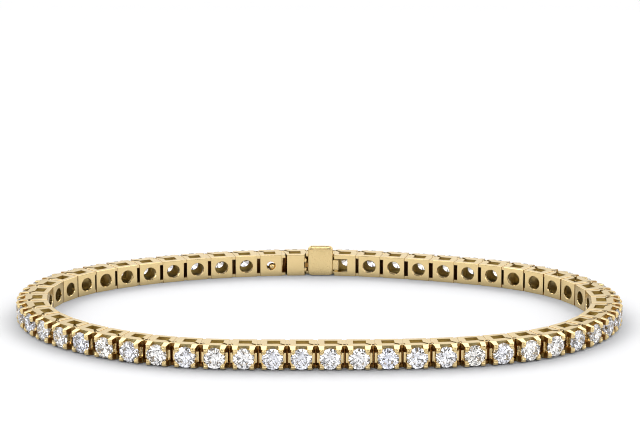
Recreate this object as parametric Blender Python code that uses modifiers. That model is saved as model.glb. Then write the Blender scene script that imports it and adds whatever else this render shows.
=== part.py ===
# Tennis bracelet: a closed chain of stone-set box links with a fold-over safety cover at the back.
# The bracelet stands on its lower edge, stones outwards. Metres, +Z up, origin under the middle.
import math

import bmesh
import bpy
import numpy as np
from mathutils import Matrix, Vector

# Chain
LINK_COUNT = 55
LINK_PITCH = 0.00323
LINK_HEIGHT = 0.0027

# The chain's route seen from above, a chosen point every sixteenth of the way round, in metres.
# It starts at the middle of the clasp and runs round by the left side. Only its shape counts,
# because it is brought to the chain's real length.
CHAIN_ROUTE = [
    (0.0003, 0.0209), (-0.0112, 0.0199), (-0.0218, 0.0166), (-0.0308, 0.0104),
    (-0.0344, 0.0002), (-0.0304, -0.0099), (-0.0216, -0.0167), (-0.0110, -0.0195),
    (0.0002, -0.0197), (0.0113, -0.0193), (0.0222, -0.0171), (0.0310, -0.0106),
    (0.0345, -0.0002), (0.0304, 0.0098), (0.0213, 0.0160), (0.0107, 0.0193),
]
ROUTE_STEPS = 3200

# Link, in its own frame: X along the chain, Y outwards from the hinge line, Z up
PLATE_FACE_DEPTH = 0.0021
PLATE_WIDTH = 0.0027
PLATE_THICKNESS = 0.00045
SEAT_DIAMETER = 0.00155
SEAT_SIDES = 10
SHOULDER_WIDTH = 0.00308
SHOULDER_LEVEL = 0.00005
RIM_WIDTH = 0.0026
RIM_LEVEL = 0.00075
PRONG_TIP_LEVEL = 0.00165
PRONG_SPACING = 0.0013
PRONG_ROOT = 0.0002
WINDOW_LENGTH = 0.0013
WINDOW_OFFSET = -0.00005
WINDOW_INNER = -0.0015
WINDOW_OUTER = -0.0005

# Round brilliant
STONE_DIAMETER = 0.00245
STONE_TABLE_DIAMETER = 0.00137
STONE_CROWN_HEIGHT = 0.00036
STONE_PAVILION_DEPTH = 0.00105
STONE_GIRDLE_LEVEL = 0.0012
STONE_SIDES = 8

# Hinge knuckle between two links, and the loose hinge where two nodes meet
KNUCKLE_DIAMETER = 0.00076
KNUCKLE_HEIGHT = 0.0012
KNUCKLE_SIDES = 8
HINGE_GAP = 0.0001
EAR_HEIGHT = 0.0004
HINGE_PIN_DIAMETER = 0.00026
KNUCKLE_NECK_THICKNESS = 0.0004

# Clasp
CLASP_PLATE_WIDTH = 0.0022
BOX_LINK_FACE_DEPTH = 0.00145
COVER_WIDTH = 0.00314
COVER_HEIGHT = 0.0038
COVER_THICKNESS = 0.0007
COVER_FACE_DEPTH = 0.00235
COVER_EDGE_ROUNDING = 0.0003
COVER_ROUNDING_SEGMENTS = 2
COVER_FLOOR_GAP = 0.00005
COVER_AXIS_DEPTH = 0.00185
LUG_SPACING = 0.00114
LUG_HEIGHT = 0.00036
LUG_DIAMETER = 0.00044
LUG_NECK_THICKNESS = 0.00024
COVER_PIN_DIAMETER = 0.00018
COVER_PIN_GAP = 0.00004
COVER_PIN_OVERHANG = 0.00008
CLASP_GAP = 0.0001
NOSE_LENGTH = 0.0007
NOSE_HEIGHT = 0.00127
NOSE_THICKNESS = 0.0003
NOSE_ROOT = 0.0003
NOSE_FACE_DEPTH = 0.002
RECEIVER_SLOT_END = 0.00045
RECEIVER_SLOT_HEIGHT = 0.0017

# Places that follow from the sizes
CHAIN_LENGTH = LINK_COUNT * LINK_PITCH
MIDDLE = LINK_HEIGHT / 2
HALF_PITCH = LINK_PITCH / 2
CUT_OVER = LINK_HEIGHT
WELD_DISTANCE = 0.000001
FLAT_ANGLE = math.radians(0.5)

FRONT_LINK = LINK_COUNT // 2
HINGE_LINK = 1
BOX_LINK = 0
RECEIVER_LINK = LINK_COUNT - 1


# Scene and materials

def clear_scene():
    """Remove every object that the file starts with."""
    for item in list(bpy.data.objects):
        bpy.data.objects.remove(item, do_unlink=True)


def make_collection(name):
    """A new collection in the scene."""
    collection = bpy.data.collections.new(name)
    bpy.context.scene.collection.children.link(collection)
    return collection


def make_material(name, colour, metallic, roughness):
    """A Principled material of one colour."""
    material = bpy.data.materials.new(name)
    material.use_nodes = True
    shader = material.node_tree.nodes["Principled BSDF"]
    shader.inputs["Base Color"].default_value = (*colour, 1.0)
    shader.inputs["Metallic"].default_value = metallic
    shader.inputs["Roughness"].default_value = roughness
    return material


# Shapes, each a plain mesh

def mesh_from(build):
    """A mesh made by a function that fills a bmesh."""
    shape = bmesh.new()
    build(shape)
    bmesh.ops.recalc_face_normals(shape, faces=shape.faces)
    mesh = bpy.data.meshes.new("shape")
    shape.to_mesh(mesh)
    shape.free()
    return mesh


def block(low, high):
    """A box between two corners."""
    low, high = Vector(low), Vector(high)
    size = high - low
    place = Matrix.Translation((low + high) / 2) @ Matrix.Diagonal((*size, 1.0))
    return mesh_from(lambda shape: bmesh.ops.create_cube(shape, size=1.0, matrix=place))


def upright_cylinder(centre, radius, bottom, top, sides):
    """A cylinder along Z, with its axis through a point of the plan."""
    place = Matrix.Translation((centre[0], centre[1], (bottom + top) / 2))
    return mesh_from(lambda shape: bmesh.ops.create_cone(
        shape, cap_ends=True, segments=sides, radius1=radius, radius2=radius,
        depth=top - bottom, matrix=place))


def outward_cylinder(radius, inner, outer, sides):
    """A cylinder along Y at the middle of the link."""
    place = Matrix.Translation((0, (inner + outer) / 2, MIDDLE)) @ Matrix.Rotation(math.pi / 2, 4, "X")
    return mesh_from(lambda shape: bmesh.ops.create_cone(
        shape, cap_ends=True, segments=sides, radius1=radius, radius2=radius,
        depth=outer - inner, matrix=place))


def prism(outline, bottom, top):
    """A flat outline in plan, raised between two heights."""
    def build(shape):
        corners = [shape.verts.new((x, y, bottom)) for x, y in outline]
        floor = shape.faces.new(corners)
        raised = bmesh.ops.extrude_face_region(shape, geom=[floor])
        lifted = [item for item in raised["geom"] if isinstance(item, bmesh.types.BMVert)]
        bmesh.ops.translate(shape, verts=lifted, vec=(0, 0, top - bottom))
    return mesh_from(build)


def baked(item):
    """The object's mesh after its modifiers; the object goes."""
    bpy.context.view_layer.update()
    evaluated = item.evaluated_get(bpy.context.evaluated_depsgraph_get())
    mesh = bpy.data.meshes.new_from_object(evaluated)
    bpy.data.objects.remove(item, do_unlink=True)
    return mesh


def combined(base, tool, operation):
    """The exact Boolean of two meshes."""
    target = bpy.data.objects.new("target", base)
    cutter = bpy.data.objects.new("cutter", tool)
    bpy.context.scene.collection.objects.link(target)
    bpy.context.scene.collection.objects.link(cutter)
    step = target.modifiers.new("step", "BOOLEAN")
    step.operation = operation
    step.object = cutter
    weld = target.modifiers.new("weld", "WELD")
    weld.merge_threshold = WELD_DISTANCE
    result = baked(target)
    bpy.data.objects.remove(cutter, do_unlink=True)
    return result


def joined(base, *tools):
    """The base with each tool welded on."""
    for tool in tools:
        base = combined(base, tool, "UNION")
    return base


def cut(base, *tools):
    """The base with each tool taken out."""
    for tool in tools:
        base = combined(base, tool, "DIFFERENCE")
    return base


def cleaned(mesh):
    """The mesh without doubled points, slivers or points that lie along a straight edge."""
    shape = bmesh.new()
    shape.from_mesh(mesh)
    bmesh.ops.remove_doubles(shape, verts=shape.verts, dist=WELD_DISTANCE)
    bmesh.ops.dissolve_degenerate(shape, edges=shape.edges, dist=WELD_DISTANCE)
    bmesh.ops.dissolve_limit(
        shape, angle_limit=FLAT_ANGLE, use_dissolve_boundaries=False, verts=shape.verts, edges=shape.edges)
    bmesh.ops.triangulate(shape, faces=shape.faces)
    shape.to_mesh(mesh)
    shape.free()
    return mesh


def painted(mesh, material):
    """The mesh with one material on every face."""
    mesh.materials.clear()
    mesh.materials.append(material)
    return mesh


# Route of the chain

def closed_curve(points, steps):
    """The smooth closed curve through the points, as a sum of turning circles."""
    places = np.array([complex(x, y) for x, y in points])
    count = len(places)
    circles = np.fft.fft(places) / count
    turns = np.fft.fftfreq(count, 1 / count)
    around = np.arange(steps + 1) / steps
    waves = np.exp(2j * np.pi * np.outer(around, turns))
    curve = waves @ circles
    return np.stack([curve.real, curve.imag], axis=1)


def hinge_points():
    """The hinge before each link: point k lies between link k - 1 and link k."""
    curve = closed_curve(CHAIN_ROUTE, ROUTE_STEPS)
    steps = np.hypot(*np.diff(curve, axis=0).T)
    travelled = np.concatenate([[0], np.cumsum(steps)])
    scale = CHAIN_LENGTH / travelled[-1]
    curve = curve * scale
    travelled = travelled * scale
    wanted = (np.arange(LINK_COUNT) - 0.5) * LINK_PITCH % CHAIN_LENGTH
    points = np.stack([np.interp(wanted, travelled, curve[:, axis]) for axis in (0, 1)], axis=1)
    return points - (points.max(axis=0) + points.min(axis=0)) / 2


def link_frames():
    """Each link's place: its X runs clockwise along the chain and its Y points outwards."""
    hinges = hinge_points()
    frames = []
    for index in range(LINK_COUNT):
        start = Vector((*hinges[index], 0))
        end = Vector((*hinges[(index + 1) % LINK_COUNT], 0))
        along = (start - end).normalized()
        outward = Vector((-along.y, along.x, 0))
        turn = Matrix((along, outward, Vector((0, 0, 1)))).transposed()
        frames.append(Matrix.Translation((start + end) / 2) @ turn.to_4x4())
    return frames


# Links

def link_outline(face_depth, plate_width):
    """The link's plan: one side from the plate out to the rim, then the other side back."""
    half_plan = [
        (plate_width / 2, -face_depth),
        (SHOULDER_WIDTH / 2, SHOULDER_LEVEL),
        (RIM_WIDTH / 2, RIM_LEVEL),
    ]
    return half_plan + [(-x, y) for x, y in half_plan[::-1]]


def link_shell(face_depth=PLATE_FACE_DEPTH, plate_width=PLATE_WIDTH, drilled_through=True):
    """The link's box with its drilled seat, both windows and the four prongs."""
    shell = prism(link_outline(face_depth, plate_width), 0, LINK_HEIGHT)
    seat_bottom = -face_depth - CUT_OVER if drilled_through else PLATE_THICKNESS - face_depth
    seat = outward_cylinder(SEAT_DIAMETER / 2, seat_bottom, RIM_LEVEL + CUT_OVER, SEAT_SIDES)
    window = block(
        (WINDOW_OFFSET - WINDOW_LENGTH / 2, max(WINDOW_INNER, PLATE_THICKNESS - face_depth), MIDDLE),
        (WINDOW_OFFSET + WINDOW_LENGTH / 2, WINDOW_OUTER, LINK_HEIGHT + CUT_OVER))
    shell = cut(shell, seat, window)
    for x_side in (-1, 1):
        for z_side in (-1, 1):
            shell = joined(shell, prong(x_side, z_side))
    return shell


def prong(x_side, z_side):
    """One prong, rooted in a corner of the box's rim and reaching over the stone's edge."""
    corner_x, inner_x = x_side * RIM_WIDTH / 2, x_side * PRONG_SPACING / 2
    corner_z, inner_z = MIDDLE + z_side * LINK_HEIGHT / 2, MIDDLE + z_side * PRONG_SPACING / 2
    return block(
        (min(corner_x, inner_x), RIM_LEVEL - PRONG_ROOT, min(corner_z, inner_z)),
        (max(corner_x, inner_x), PRONG_TIP_LEVEL, max(corner_z, inner_z)))


def stone():
    """A round brilliant with a table, crown, girdle and pavilion, facing outwards."""
    outward = Matrix.Rotation(-math.pi / 2, 4, "X") @ Matrix.Rotation(math.pi / STONE_SIDES, 4, "Z")
    place = Matrix.Translation((0, STONE_GIRDLE_LEVEL, MIDDLE)) @ outward

    def build(shape):
        rings = [
            (STONE_TABLE_DIAMETER / 2, STONE_CROWN_HEIGHT),
            (STONE_DIAMETER / 2, 0),
        ]
        loops = []
        for radius, height in rings:
            loop = bmesh.ops.create_circle(shape, segments=STONE_SIDES, radius=radius)["verts"]
            bmesh.ops.translate(shape, verts=loop, vec=(0, 0, height))
            loops.append(loop)
        shape.faces.new(loops[0])
        for upper, lower in zip(loops, loops[1:]):
            edges = [edge for edge in shape.edges if len(set(edge.verts) & set(upper)) == 2
                     or len(set(edge.verts) & set(lower)) == 2]
            bmesh.ops.bridge_loops(shape, edges=edges)
        culet = shape.verts.new((0, 0, -STONE_PAVILION_DEPTH))
        for side in range(STONE_SIDES):
            shape.faces.new((loops[-1][side], loops[-1][(side + 1) % STONE_SIDES], culet))
        bmesh.ops.transform(shape, matrix=place, verts=shape.verts)
    return mesh_from(build)


def fixed_knuckle():
    """The soldered knuckle that joins a link to its clockwise neighbour in one string."""
    return block(
        (HALF_PITCH - KNUCKLE_DIAMETER / 2, -KNUCKLE_NECK_THICKNESS / 2, MIDDLE - KNUCKLE_HEIGHT / 2),
        (HALF_PITCH + KNUCKLE_DIAMETER / 2, KNUCKLE_NECK_THICKNESS / 2, MIDDLE + KNUCKLE_HEIGHT / 2))


def with_loose_knuckle(link):
    """The link with a drilled knuckle at its clockwise end, clear of its neighbour's ears."""
    hinge = (HALF_PITCH, 0)
    radius = KNUCKLE_DIAMETER / 2
    bottom = MIDDLE - KNUCKLE_HEIGHT / 2
    top = MIDDLE + KNUCKLE_HEIGHT / 2
    clearance = upright_cylinder(hinge, radius + HINGE_GAP, -CUT_OVER, LINK_HEIGHT + CUT_OVER, KNUCKLE_SIDES)
    neck = block(
        (SEAT_DIAMETER / 2 + HINGE_GAP, -KNUCKLE_NECK_THICKNESS / 2, bottom),
        (HALF_PITCH, KNUCKLE_NECK_THICKNESS / 2, top))
    barrel = upright_cylinder(hinge, radius, bottom, top, KNUCKLE_SIDES)
    bore = upright_cylinder(
        hinge, HINGE_PIN_DIAMETER / 2 + HINGE_GAP, -CUT_OVER, LINK_HEIGHT + CUT_OVER, KNUCKLE_SIDES)
    return cut(joined(cut(link, clearance), neck, barrel), bore)


def with_fork(link):
    """The link with two ears and a pin at its anticlockwise end, round its neighbour's knuckle."""
    hinge = (-HALF_PITCH, 0)
    radius = KNUCKLE_DIAMETER / 2
    low = MIDDLE - KNUCKLE_HEIGHT / 2 - HINGE_GAP
    high = MIDDLE + KNUCKLE_HEIGHT / 2 + HINGE_GAP
    ears = [
        upright_cylinder(hinge, radius, low - EAR_HEIGHT, low, KNUCKLE_SIDES),
        upright_cylinder(hinge, radius, high, high + EAR_HEIGHT, KNUCKLE_SIDES)]
    slot = upright_cylinder(hinge, radius + HINGE_GAP, low, high, KNUCKLE_SIDES)
    pin = upright_cylinder(
        hinge, HINGE_PIN_DIAMETER / 2, low - EAR_HEIGHT / 2, high + EAR_HEIGHT / 2, KNUCKLE_SIDES)
    return joined(cut(joined(link, *ears), slot), pin)


# Strings of links

def placed_copies(meshes_and_frames):
    """Several meshes, each moved to its place, in one mesh."""
    shape = bmesh.new()
    for mesh, frame in meshes_and_frames:
        start = len(shape.verts)
        shape.from_mesh(mesh)
        shape.verts.ensure_lookup_table()
        bmesh.ops.transform(shape, matrix=frame, verts=shape.verts[start:])
    result = bpy.data.meshes.new("copies")
    shape.to_mesh(result)
    shape.free()
    return result


def link_string(first, last, plain, first_end, last_end, frames):
    """One body from a run of links: every other link is welded into the gaps of the rest."""
    choices = {first: first_end, last: last_end}
    runs = []
    for parity in (0, 1):
        indices = range(first + parity, last + 1, 2)
        runs.append(placed_copies([(choices.get(index, plain), frames[index]) for index in indices]))
    return cleaned(combined(runs[0], runs[1], "UNION"))


# Clasp

def cover_axis():
    """The plan of the cover's hinge axis in the box link's frame."""
    return Vector((-COVER_WIDTH / 2 - CLASP_GAP - LUG_DIAMETER / 2, -COVER_AXIS_DEPTH))


def hinge_link(frames):
    """The clasp's fixed link: a plate without a hole, and two lugs for the cover."""
    link = link_shell(plate_width=CLASP_PLATE_WIDTH, drilled_through=False)
    link = with_fork(with_loose_knuckle(joined(link, stone())))
    across = frames[HINGE_LINK].inverted() @ frames[BOX_LINK]
    axis = across @ cover_axis().to_3d()
    root = CLASP_PLATE_WIDTH / 2 - PLATE_THICKNESS / 2
    inside = (LUG_SPACING - LUG_HEIGHT) / 2
    groove = upright_cylinder(
        axis.xy, LUG_DIAMETER / 2 + CLASP_GAP, MIDDLE - inside, MIDDLE + inside, KNUCKLE_SIDES)
    link = cut(link, groove)
    for side in (-1, 1):
        height = MIDDLE + side * LUG_SPACING / 2
        bottom, top = height - LUG_HEIGHT / 2, height + LUG_HEIGHT / 2
        lug = upright_cylinder(axis.xy, LUG_DIAMETER / 2, bottom, top, KNUCKLE_SIDES)
        neck = block(
            (root, axis.y - LUG_NECK_THICKNESS / 2, bottom), (axis.x, axis.y + LUG_NECK_THICKNESS / 2, top))
        link = joined(link, neck, lug)
    bore = upright_cylinder(
        axis.xy, COVER_PIN_DIAMETER / 2 + COVER_PIN_GAP, -CUT_OVER, LINK_HEIGHT + CUT_OVER, KNUCKLE_SIDES)
    return cut(link, bore)


def box_link():
    """The stone link behind the cover, shallower by the cover's thickness."""
    link = link_shell(face_depth=BOX_LINK_FACE_DEPTH)
    return with_fork(with_loose_knuckle(joined(link, stone())))


def receiver_link():
    """The link that takes the cover's nose, through a slot that is open at its left edge."""
    slot = block(
        (-LINK_PITCH, -PLATE_FACE_DEPTH - CUT_OVER, MIDDLE - RECEIVER_SLOT_HEIGHT / 2),
        (RECEIVER_SLOT_END, PLATE_THICKNESS - PLATE_FACE_DEPTH, MIDDLE + RECEIVER_SLOT_HEIGHT / 2))
    link = joined(cut(link_shell(drilled_through=False), slot), stone())
    return with_fork(with_loose_knuckle(link))


def clasp_cover():
    """The pillowed cover with its knuckle and nose, its origin on its hinge axis."""
    half = COVER_WIDTH / 2
    plate = bpy.data.objects.new("plate", block(
        (-half, -COVER_FACE_DEPTH, COVER_FLOOR_GAP),
        (half, COVER_THICKNESS - COVER_FACE_DEPTH, COVER_FLOOR_GAP + COVER_HEIGHT)))
    bpy.context.scene.collection.objects.link(plate)
    rounding = plate.modifiers.new("rounding", "BEVEL")
    rounding.width = COVER_EDGE_ROUNDING
    rounding.segments = COVER_ROUNDING_SEGMENTS
    axis = cover_axis()
    reach = (LUG_SPACING - LUG_HEIGHT) / 2 - CLASP_GAP
    bottom, top = MIDDLE - reach, MIDDLE + reach
    knuckle = upright_cylinder(axis, LUG_DIAMETER / 2, bottom, top, KNUCKLE_SIDES)
    neck = block(
        (axis.x, axis.y - LUG_NECK_THICKNESS / 2, bottom),
        (-half + NOSE_ROOT, axis.y + LUG_NECK_THICKNESS / 2, top))
    nose = block(
        (half - NOSE_ROOT, -NOSE_FACE_DEPTH, MIDDLE - NOSE_HEIGHT / 2),
        (half + NOSE_LENGTH, NOSE_THICKNESS - NOSE_FACE_DEPTH, MIDDLE + NOSE_HEIGHT / 2))
    bore = upright_cylinder(
        axis, COVER_PIN_DIAMETER / 2 + COVER_PIN_GAP, -CUT_OVER, LINK_HEIGHT + CUT_OVER, KNUCKLE_SIDES)
    cover = cut(joined(baked(plate), neck, knuckle, nose), bore)
    cover.transform(Matrix.Translation(-axis.to_3d()))
    return cover


def clasp_pin():
    """The cover's hinge pin, a little longer than the lugs are apart."""
    reach = (LUG_SPACING + LUG_HEIGHT) / 2 + COVER_PIN_OVERHANG
    return upright_cylinder((0, 0), COVER_PIN_DIAMETER / 2, MIDDLE - reach, MIDDLE + reach, KNUCKLE_SIDES)


# Whole bracelet

def main():
    clear_scene()
    bracelet = make_collection("tennis_bracelet")
    gold = make_material("yellow_gold", (0.83, 0.64, 0.33), 1.0, 0.18)
    frames = link_frames()

    set_link = cleaned(joined(link_shell(), stone()))
    plain = joined(set_link, fixed_knuckle())
    knuckle_end = with_loose_knuckle(set_link)
    fork_end = with_fork(plain)

    here = Matrix.Identity(4)
    hinge_frame = frames[BOX_LINK] @ Matrix.Translation(cover_axis().to_3d())
    pieces = {
        "link_string_left": (
            link_string(HINGE_LINK + 1, FRONT_LINK, plain, knuckle_end, fork_end, frames), here),
        "link_string_right": (
            link_string(FRONT_LINK + 1, RECEIVER_LINK - 1, plain, knuckle_end, fork_end, frames), here),
        "clasp_hinge_link": (hinge_link(frames), frames[HINGE_LINK]),
        "clasp_box_link": (box_link(), frames[BOX_LINK]),
        "clasp_receiver_link": (receiver_link(), frames[RECEIVER_LINK]),
        "clasp_cover": (clasp_cover(), hinge_frame),
        "clasp_pin": (clasp_pin(), hinge_frame),
    }
    for name, (mesh, frame) in pieces.items():
        item = bpy.data.objects.new(name, painted(mesh, gold))
        item.matrix_world = frame
        bracelet.objects.link(item)


main()
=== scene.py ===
# %% [markdown]
# # A tennis bracelet in yellow gold
#
# The bracelet is a closed row of 55 small gold boxes. Each box holds one round brilliant with four
# claws, and a fold-over cover at the back locks the clasp. It stands on its lower edge with the
# stones facing outwards, so the camera sees stones in front and the boxes' back plates behind.
#
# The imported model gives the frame: where each link is and which pieces move. This notebook gives the
# looks. It works in millimetres while a piece is shaped, and turns it to metres when it is finished.

# %% The frame
import math

import bmesh
import bpy
import numpy as np
from mathutils import Matrix, Vector


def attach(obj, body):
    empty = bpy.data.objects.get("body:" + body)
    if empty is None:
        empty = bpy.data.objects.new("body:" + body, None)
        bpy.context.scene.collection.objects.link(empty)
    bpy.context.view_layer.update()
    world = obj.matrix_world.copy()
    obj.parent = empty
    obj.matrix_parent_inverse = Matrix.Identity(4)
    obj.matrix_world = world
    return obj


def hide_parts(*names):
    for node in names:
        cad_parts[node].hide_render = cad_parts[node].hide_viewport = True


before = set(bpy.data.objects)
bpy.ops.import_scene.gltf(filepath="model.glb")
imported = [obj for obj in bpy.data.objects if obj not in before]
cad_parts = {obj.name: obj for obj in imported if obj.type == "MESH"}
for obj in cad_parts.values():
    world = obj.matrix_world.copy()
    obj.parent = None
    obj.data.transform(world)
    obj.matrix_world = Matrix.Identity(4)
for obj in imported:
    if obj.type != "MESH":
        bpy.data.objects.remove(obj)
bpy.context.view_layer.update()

# %% [markdown]
# ## Colours and nodes
#
# Colours are picked as sRGB hex values, the way a picture shows them, and a shader wants them linear.
# One function turns them. Another adds a node to any tree, with its settings and its inputs, where an
# input is either a value or another node's output.

# %% Two small helpers
def linear(colour):
    """An sRGB hex colour as linear red, green, blue and alpha."""
    parts = [int(colour[place:place + 2], 16) / 255 for place in (1, 3, 5)]
    return (*[part / 12.92 if part <= 0.04045 else ((part + 0.055) / 1.055) ** 2.4 for part in parts], 1.0)


def add_node(tree, kind, inputs=None, **settings):
    """A node with its settings; each input is a value, or an output that is linked to it."""
    node = tree.nodes.new(kind)
    for name, value in settings.items():
        setattr(node, name, value)
    for key, value in (inputs or {}).items():
        if isinstance(value, bpy.types.NodeSocket):
            tree.links.new(value, node.inputs[key])
        else:
            node.inputs[key].default_value = value
    return node


print("middle grey is", round(linear("#808080")[0], 3), "in linear light")

# %% [markdown]
# ## The route of the chain
#
# A chain of stiff links can't follow a curve exactly: its hinges lie on the curve, and each link is a
# straight chord between two of them. So the smooth oval is measured first, the hinges are stepped off
# along it at one pitch, and a link sits on each side of the polygon that they make. The oval runs
# through sixteen chosen points, as a sum of turning circles, which is smooth everywhere.

# %% Hinge points
LINK_COUNT = 55
LINK_PITCH = 3.23
# Points given on the oval. Only their pattern counts: the route is scaled to the chain's length.
CHAIN_ROUTE = [
    (0.0003, 0.0209), (-0.0112, 0.0199), (-0.0218, 0.0166), (-0.0308, 0.0104),
    (-0.0344, 0.0002), (-0.0304, -0.0099), (-0.0216, -0.0167), (-0.0110, -0.0195),
    (0.0002, -0.0197), (0.0113, -0.0193), (0.0222, -0.0171), (0.0310, -0.0106),
    (0.0345, -0.0002), (0.0304, 0.0098), (0.0213, 0.0160), (0.0107, 0.0193),
]
ROUTE_STEPS = 3200
CHAIN_LENGTH = LINK_COUNT * LINK_PITCH


def hinge_points():
    """The hinge before each link, in plan: point k lies between link k - 1 and link k."""
    places = np.array([complex(x, y) for x, y in CHAIN_ROUTE])
    circles = np.fft.fft(places) / len(places)
    turns = np.fft.fftfreq(len(places), 1 / len(places))
    around = np.arange(ROUTE_STEPS + 1) / ROUTE_STEPS
    waves = np.exp(2j * np.pi * np.outer(around, turns)) @ circles
    curve = np.stack([waves.real, waves.imag], axis=1)
    travelled = np.concatenate([[0], np.cumsum(np.hypot(*np.diff(curve, axis=0).T))])
    scale = CHAIN_LENGTH / travelled[-1]
    wanted = (np.arange(LINK_COUNT) - 0.5) * LINK_PITCH % CHAIN_LENGTH
    points = np.stack([np.interp(wanted, travelled * scale, curve[:, axis] * scale)
                       for axis in (0, 1)], axis=1)
    return points - (points.max(axis=0) + points.min(axis=0)) / 2


HINGES = hinge_points()
print("oval of hinges", np.ptp(HINGES, axis=0).round(1), "mm")

# %% Link frames
LINK_HEIGHT = 2.7
MIDDLE = LINK_HEIGHT / 2


def link_frame(index):
    """A link's place: X clockwise along the chain, Y outwards, Z up, its origin at its own middle."""
    start = Vector((*HINGES[index], MIDDLE))
    end = Vector((*HINGES[(index + 1) % LINK_COUNT], MIDDLE))
    along = (start - end).normalized()
    outward = Vector((-along.y, along.x, 0))
    turn = Matrix((along, outward, Vector((0, 0, 1)))).transposed()
    return Matrix.Translation((start + end) / 2) @ turn.to_4x4()


BOX_LINK = 0
HINGE_LINK = 1
FRONT_LINK = LINK_COUNT // 2
RECEIVER_LINK = LINK_COUNT - 1
print("front link at", link_frame(FRONT_LINK).translation.to_tuple(1))

# %% [markdown]
# ## A goldsmith's tools
#
# A link is made the way a goldsmith would: a block is filed to an outline, holes are drilled and
# pierced, and small pieces are soldered on. In Blender these are a few primitives with eased edges, and
# exact Booleans that cut and join them. Everything is shaped round the link's own middle.

# %% Primitives
EDGE = 0.07
EDGE_STEPS = 2
ROUND = 0.5
print("edges are eased by", EDGE, "mm")


def mesh_from(fill):
    """A closed mesh that a function fills in."""
    shape = bmesh.new()
    fill(shape)
    bmesh.ops.recalc_face_normals(shape, faces=shape.faces)
    mesh = bpy.data.meshes.new("shape")
    shape.to_mesh(mesh)
    shape.free()
    return mesh


def ease(shape, width):
    """Rounds every edge of a shape."""
    bmesh.ops.bevel(shape, geom=shape.edges[:] + shape.verts[:], offset=width, offset_type="OFFSET",
                    segments=EDGE_STEPS, profile=ROUND, affect="EDGES", clamp_overlap=True)


def block(low, high, edge=0):
    """A box between two corners, with eased edges if a width is given."""
    low, high = Vector(low), Vector(high)
    place = Matrix.Translation((low + high) / 2) @ Matrix.Diagonal((*(high - low), 1.0))

    def fill(shape):
        bmesh.ops.create_cube(shape, size=1.0, matrix=place)
        if edge:
            ease(shape, edge)
    return mesh_from(fill)


def prism(outline, bottom, top, edge=0):
    """A flat outline in plan, raised between two heights."""
    def fill(shape):
        floor = shape.faces.new([shape.verts.new((x, y, bottom)) for x, y in outline])
        raised = bmesh.ops.extrude_face_region(shape, geom=[floor])["geom"]
        lifted = [item for item in raised if isinstance(item, bmesh.types.BMVert)]
        bmesh.ops.translate(shape, verts=lifted, vec=(0, 0, top - bottom))
        if edge:
            bmesh.ops.recalc_face_normals(shape, faces=shape.faces)
            ease(shape, edge)
    return mesh_from(fill)


def upright(centre, radius, bottom, top, sides=16, edge=0):
    """A round post or drill along Z."""
    place = Matrix.Translation((centre[0], centre[1], (bottom + top) / 2))

    def fill(shape):
        bmesh.ops.create_cone(shape, cap_ends=True, segments=sides, radius1=radius, radius2=radius,
                              depth=top - bottom, matrix=place)
        if edge:
            rims = [line for line in shape.edges if len({round(end.co.z, 5) for end in line.verts}) == 1]
            bmesh.ops.bevel(shape, geom=rims, offset=edge, segments=EDGE_STEPS, profile=ROUND, affect="EDGES")
    return mesh_from(fill)


def outward(inner_radius, outer_radius, inner, outer, sides=32):
    """A round drill along Y through the link's middle, straight or tapered."""
    place = Matrix.Translation((0, (inner + outer) / 2, 0)) @ Matrix.Rotation(-math.pi / 2, 4, "X")
    return mesh_from(lambda shape: bmesh.ops.create_cone(
        shape, cap_ends=True, segments=sides, radius1=inner_radius, radius2=outer_radius,
        depth=outer - inner, matrix=place))


def bead(centre, radii, steps=12):
    """A rounded grain of metal."""
    place = Matrix.Translation(centre) @ Matrix.Diagonal((*radii, 1.0))
    return mesh_from(lambda shape: bmesh.ops.create_uvsphere(
        shape, u_segments=steps, v_segments=steps // 2 + 2, radius=1.0, matrix=place))


# %% Cutting and soldering
# A Boolean can leave two points where one is meant. Closer than this, in millimetres, they are joined.
CLOSE = 0.001


def baked(item):
    """The object's mesh after its modifiers; the object goes."""
    bpy.context.view_layer.update()
    evaluated = item.evaluated_get(bpy.context.evaluated_depsgraph_get())
    mesh = bpy.data.meshes.new_from_object(evaluated)
    bpy.data.objects.remove(item, do_unlink=True)
    return mesh


def on_bench(mesh):
    """An object with this mesh, in the scene."""
    item = bpy.data.objects.new("bench", mesh)
    bpy.context.scene.collection.objects.link(item)
    return item


def combined(base, tool, operation):
    """The exact Boolean of two meshes."""
    target, cutter = on_bench(base), on_bench(tool)
    step = target.modifiers.new("step", "BOOLEAN")
    step.operation = operation
    step.solver = "EXACT"
    step.object = cutter
    target.modifiers.new("close", "WELD").merge_threshold = CLOSE
    result = baked(target)
    bpy.data.objects.remove(cutter, do_unlink=True)
    return result


def soldered(base, *pieces):
    """The base with each piece joined to it."""
    for piece in pieces:
        base = combined(base, piece, "UNION")
    return base


def cut(base, *tools):
    """The base with each tool's shape taken out."""
    for tool in tools:
        base = combined(base, tool, "DIFFERENCE")
    return base


def mirrored(mesh, x_side, z_side):
    """A copy on the other side of the link's middle, still facing outwards."""
    copy = mesh.copy()
    copy.transform(Matrix.Diagonal((x_side, 1, z_side, 1)))
    if x_side * z_side < 0:
        copy.flip_normals()
    return copy


# %% [markdown]
# ## One setting
#
# A setting is a box with walls about 0.4 mm thick. Its inner plate has a round hole that lets light to
# the stone, its top and bottom walls have a long window, and the front rim is turned to a cone in which
# the stone's pavilion sits. Seen from above the box is a spade: widest where the next link nests
# against it, and narrower at the claws.

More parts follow.
